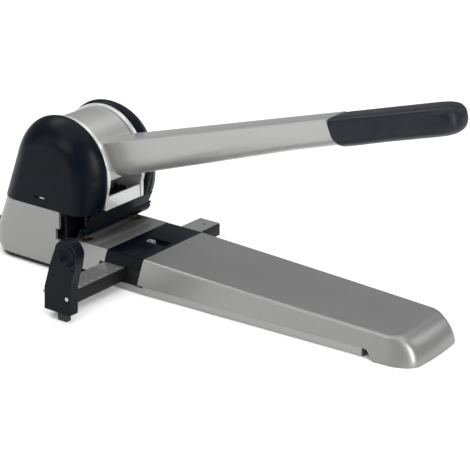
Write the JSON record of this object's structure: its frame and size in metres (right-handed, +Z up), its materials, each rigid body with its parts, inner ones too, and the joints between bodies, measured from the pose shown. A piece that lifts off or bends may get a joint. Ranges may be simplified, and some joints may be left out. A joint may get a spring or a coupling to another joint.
{
  "type": "heavy-duty hole punch",
  "caption": "Heavy-duty desk hole punch: tapered foot, domed head with press lever, coupled punches, spring presser, sliding paper guide and pull-out chip tray.",
  "frame": {"origin": "on the floor, midway between the two punches", "axes": "+Y towards the back of the head (the foot and lever point along -Y), +Z up, -X towards the stop arm of the paper guide"},
  "size_m": [0.2712, 0.5513, 0.2488],
  "materials": {
    "silver_lacquer": "satin metallic silver lacquer",
    "pale_lacquer": "paler satin silver lacquer",
    "bright_rim": "bright silver lacquer on steel plate",
    "bright_steel": "ground steel",
    "blackened_steel": "black oxide on hardened steel",
    "plated_sheet": "satin grey plated sheet",
    "sintered_bronze": "oiled sintered bronze",
    "slate_plastic": "satin blue-black moulded plastic",
    "grip_plastic": "fine grained soft-touch plastic",
    "black_plastic": "matt black moulded plastic",
    "black_rubber": "matt rubber",
    "clear_lens": "clear moulded window"
  },
  "bodies": {
    "base": {"axle_bush_left": "sintered_bronze", "axle_bush_right": "sintered_bronze", "back_stop": "slate_plastic", "base_pan": "plated_sheet", "base_shell": "silver_lacquer", "cap_left": "slate_plastic", "cap_right": "slate_plastic", "die_bush_left": "sintered_bronze", "die_bush_right": "sintered_bronze", "die_plate": "silver_lacquer", "foot_shell": "silver_lacquer", "frame_plate_left": "bright_rim", "frame_plate_right": "bright_rim", "front_cross_plate": "bright_rim", "front_mat": "black_rubber", "guide_cover_plate": "slate_plastic", "guide_housing": "black_plastic", "head_floor": "black_plastic", "head_housing": "silver_lacquer", "indicator_lens": "clear_lens", "pan_screw_1": "bright_steel", "pan_screw_2": "bright_steel", "pan_screw_3": "bright_steel", "pan_screw_4": "bright_steel", "punch_guide_left": "sintered_bronze", "punch_guide_right": "sintered_bronze", "rear_cover": "pale_lacquer", "rear_mat": "black_rubber", "rod_bracket": "black_plastic", "slot_guard": "slate_plastic"},
    "lever": {"lever_axle": "bright_steel", "hub_cheek_left": "bright_steel", "hub_cheek_right": "bright_steel", "drum_skin": "pale_lacquer", "lever_arm": "pale_lacquer", "lever_grip": "grip_plastic", "crank_left": "blackened_steel", "crank_right": "blackened_steel", "crank_pin_left": "blackened_steel", "crank_pin_right": "blackened_steel", "axle_clip_left": "blackened_steel", "axle_clip_right": "blackened_steel"},
    "punch_left": {"punch_holder_left": "blackened_steel", "punch_pin_left": "blackened_steel"},
    "punch_right": {"punch_holder_right": "blackened_steel", "punch_pin_right": "blackened_steel"},
    "presser": {"paper_presser": "slate_plastic", "presser_rod_left": "blackened_steel", "presser_rod_right": "blackened_steel", "presser_spring_left": "blackened_steel", "presser_spring_right": "blackened_steel"},
    "paper_guide": {"slide_bar": "bright_steel", "bar_trim": "black_plastic", "stop_arm": "slate_plastic", "stop_foot": "black_rubber", "stop_arm_screw": "bright_steel"},
    "chip_drawer": {"chip_tray": "black_plastic", "tray_front": "black_plastic"}
  },
  "joints": [
    {"name": "lever_hinge", "type": "hinge", "parent": "base", "child": "lever", "pos_m": [0, 0.035, 0.1045], "axis": [1, 0, 0], "range_deg": [-35, 17]},
    {"name": "punch_left_slide", "type": "slide", "parent": "base", "child": "punch_left", "axis": [0, 0, -1], "range_m": [-0.0222, 0.0108]},
    {"name": "punch_right_slide", "type": "slide", "parent": "base", "child": "punch_right", "axis": [0, 0, -1], "range_m": [-0.0222, 0.0108]},
    {"name": "presser_slide", "type": "slide", "parent": "base", "child": "presser", "axis": [0, 0, 1], "range_m": [0, 0.0152], "stiffness_N_per_m": 200, "springref_m": -0.01, "deforming": ["presser_spring_left", "presser_spring_right"]},
    {"name": "guide_slide", "type": "slide", "parent": "base", "child": "paper_guide", "axis": [-1, 0, 0], "range_m": [-0.0745, 0.03]},
    {"name": "chip_drawer_slide", "type": "slide", "parent": "base", "child": "chip_drawer", "axis": [0, 1, 0], "range_m": [0, 0.1]}
  ],
  "couplings": [
    {"joint": "punch_left_slide", "follows": "lever_hinge", "m_per_rad": 0.035},
    {"joint": "punch_right_slide", "follows": "lever_hinge", "m_per_rad": 0.035}
  ]
}
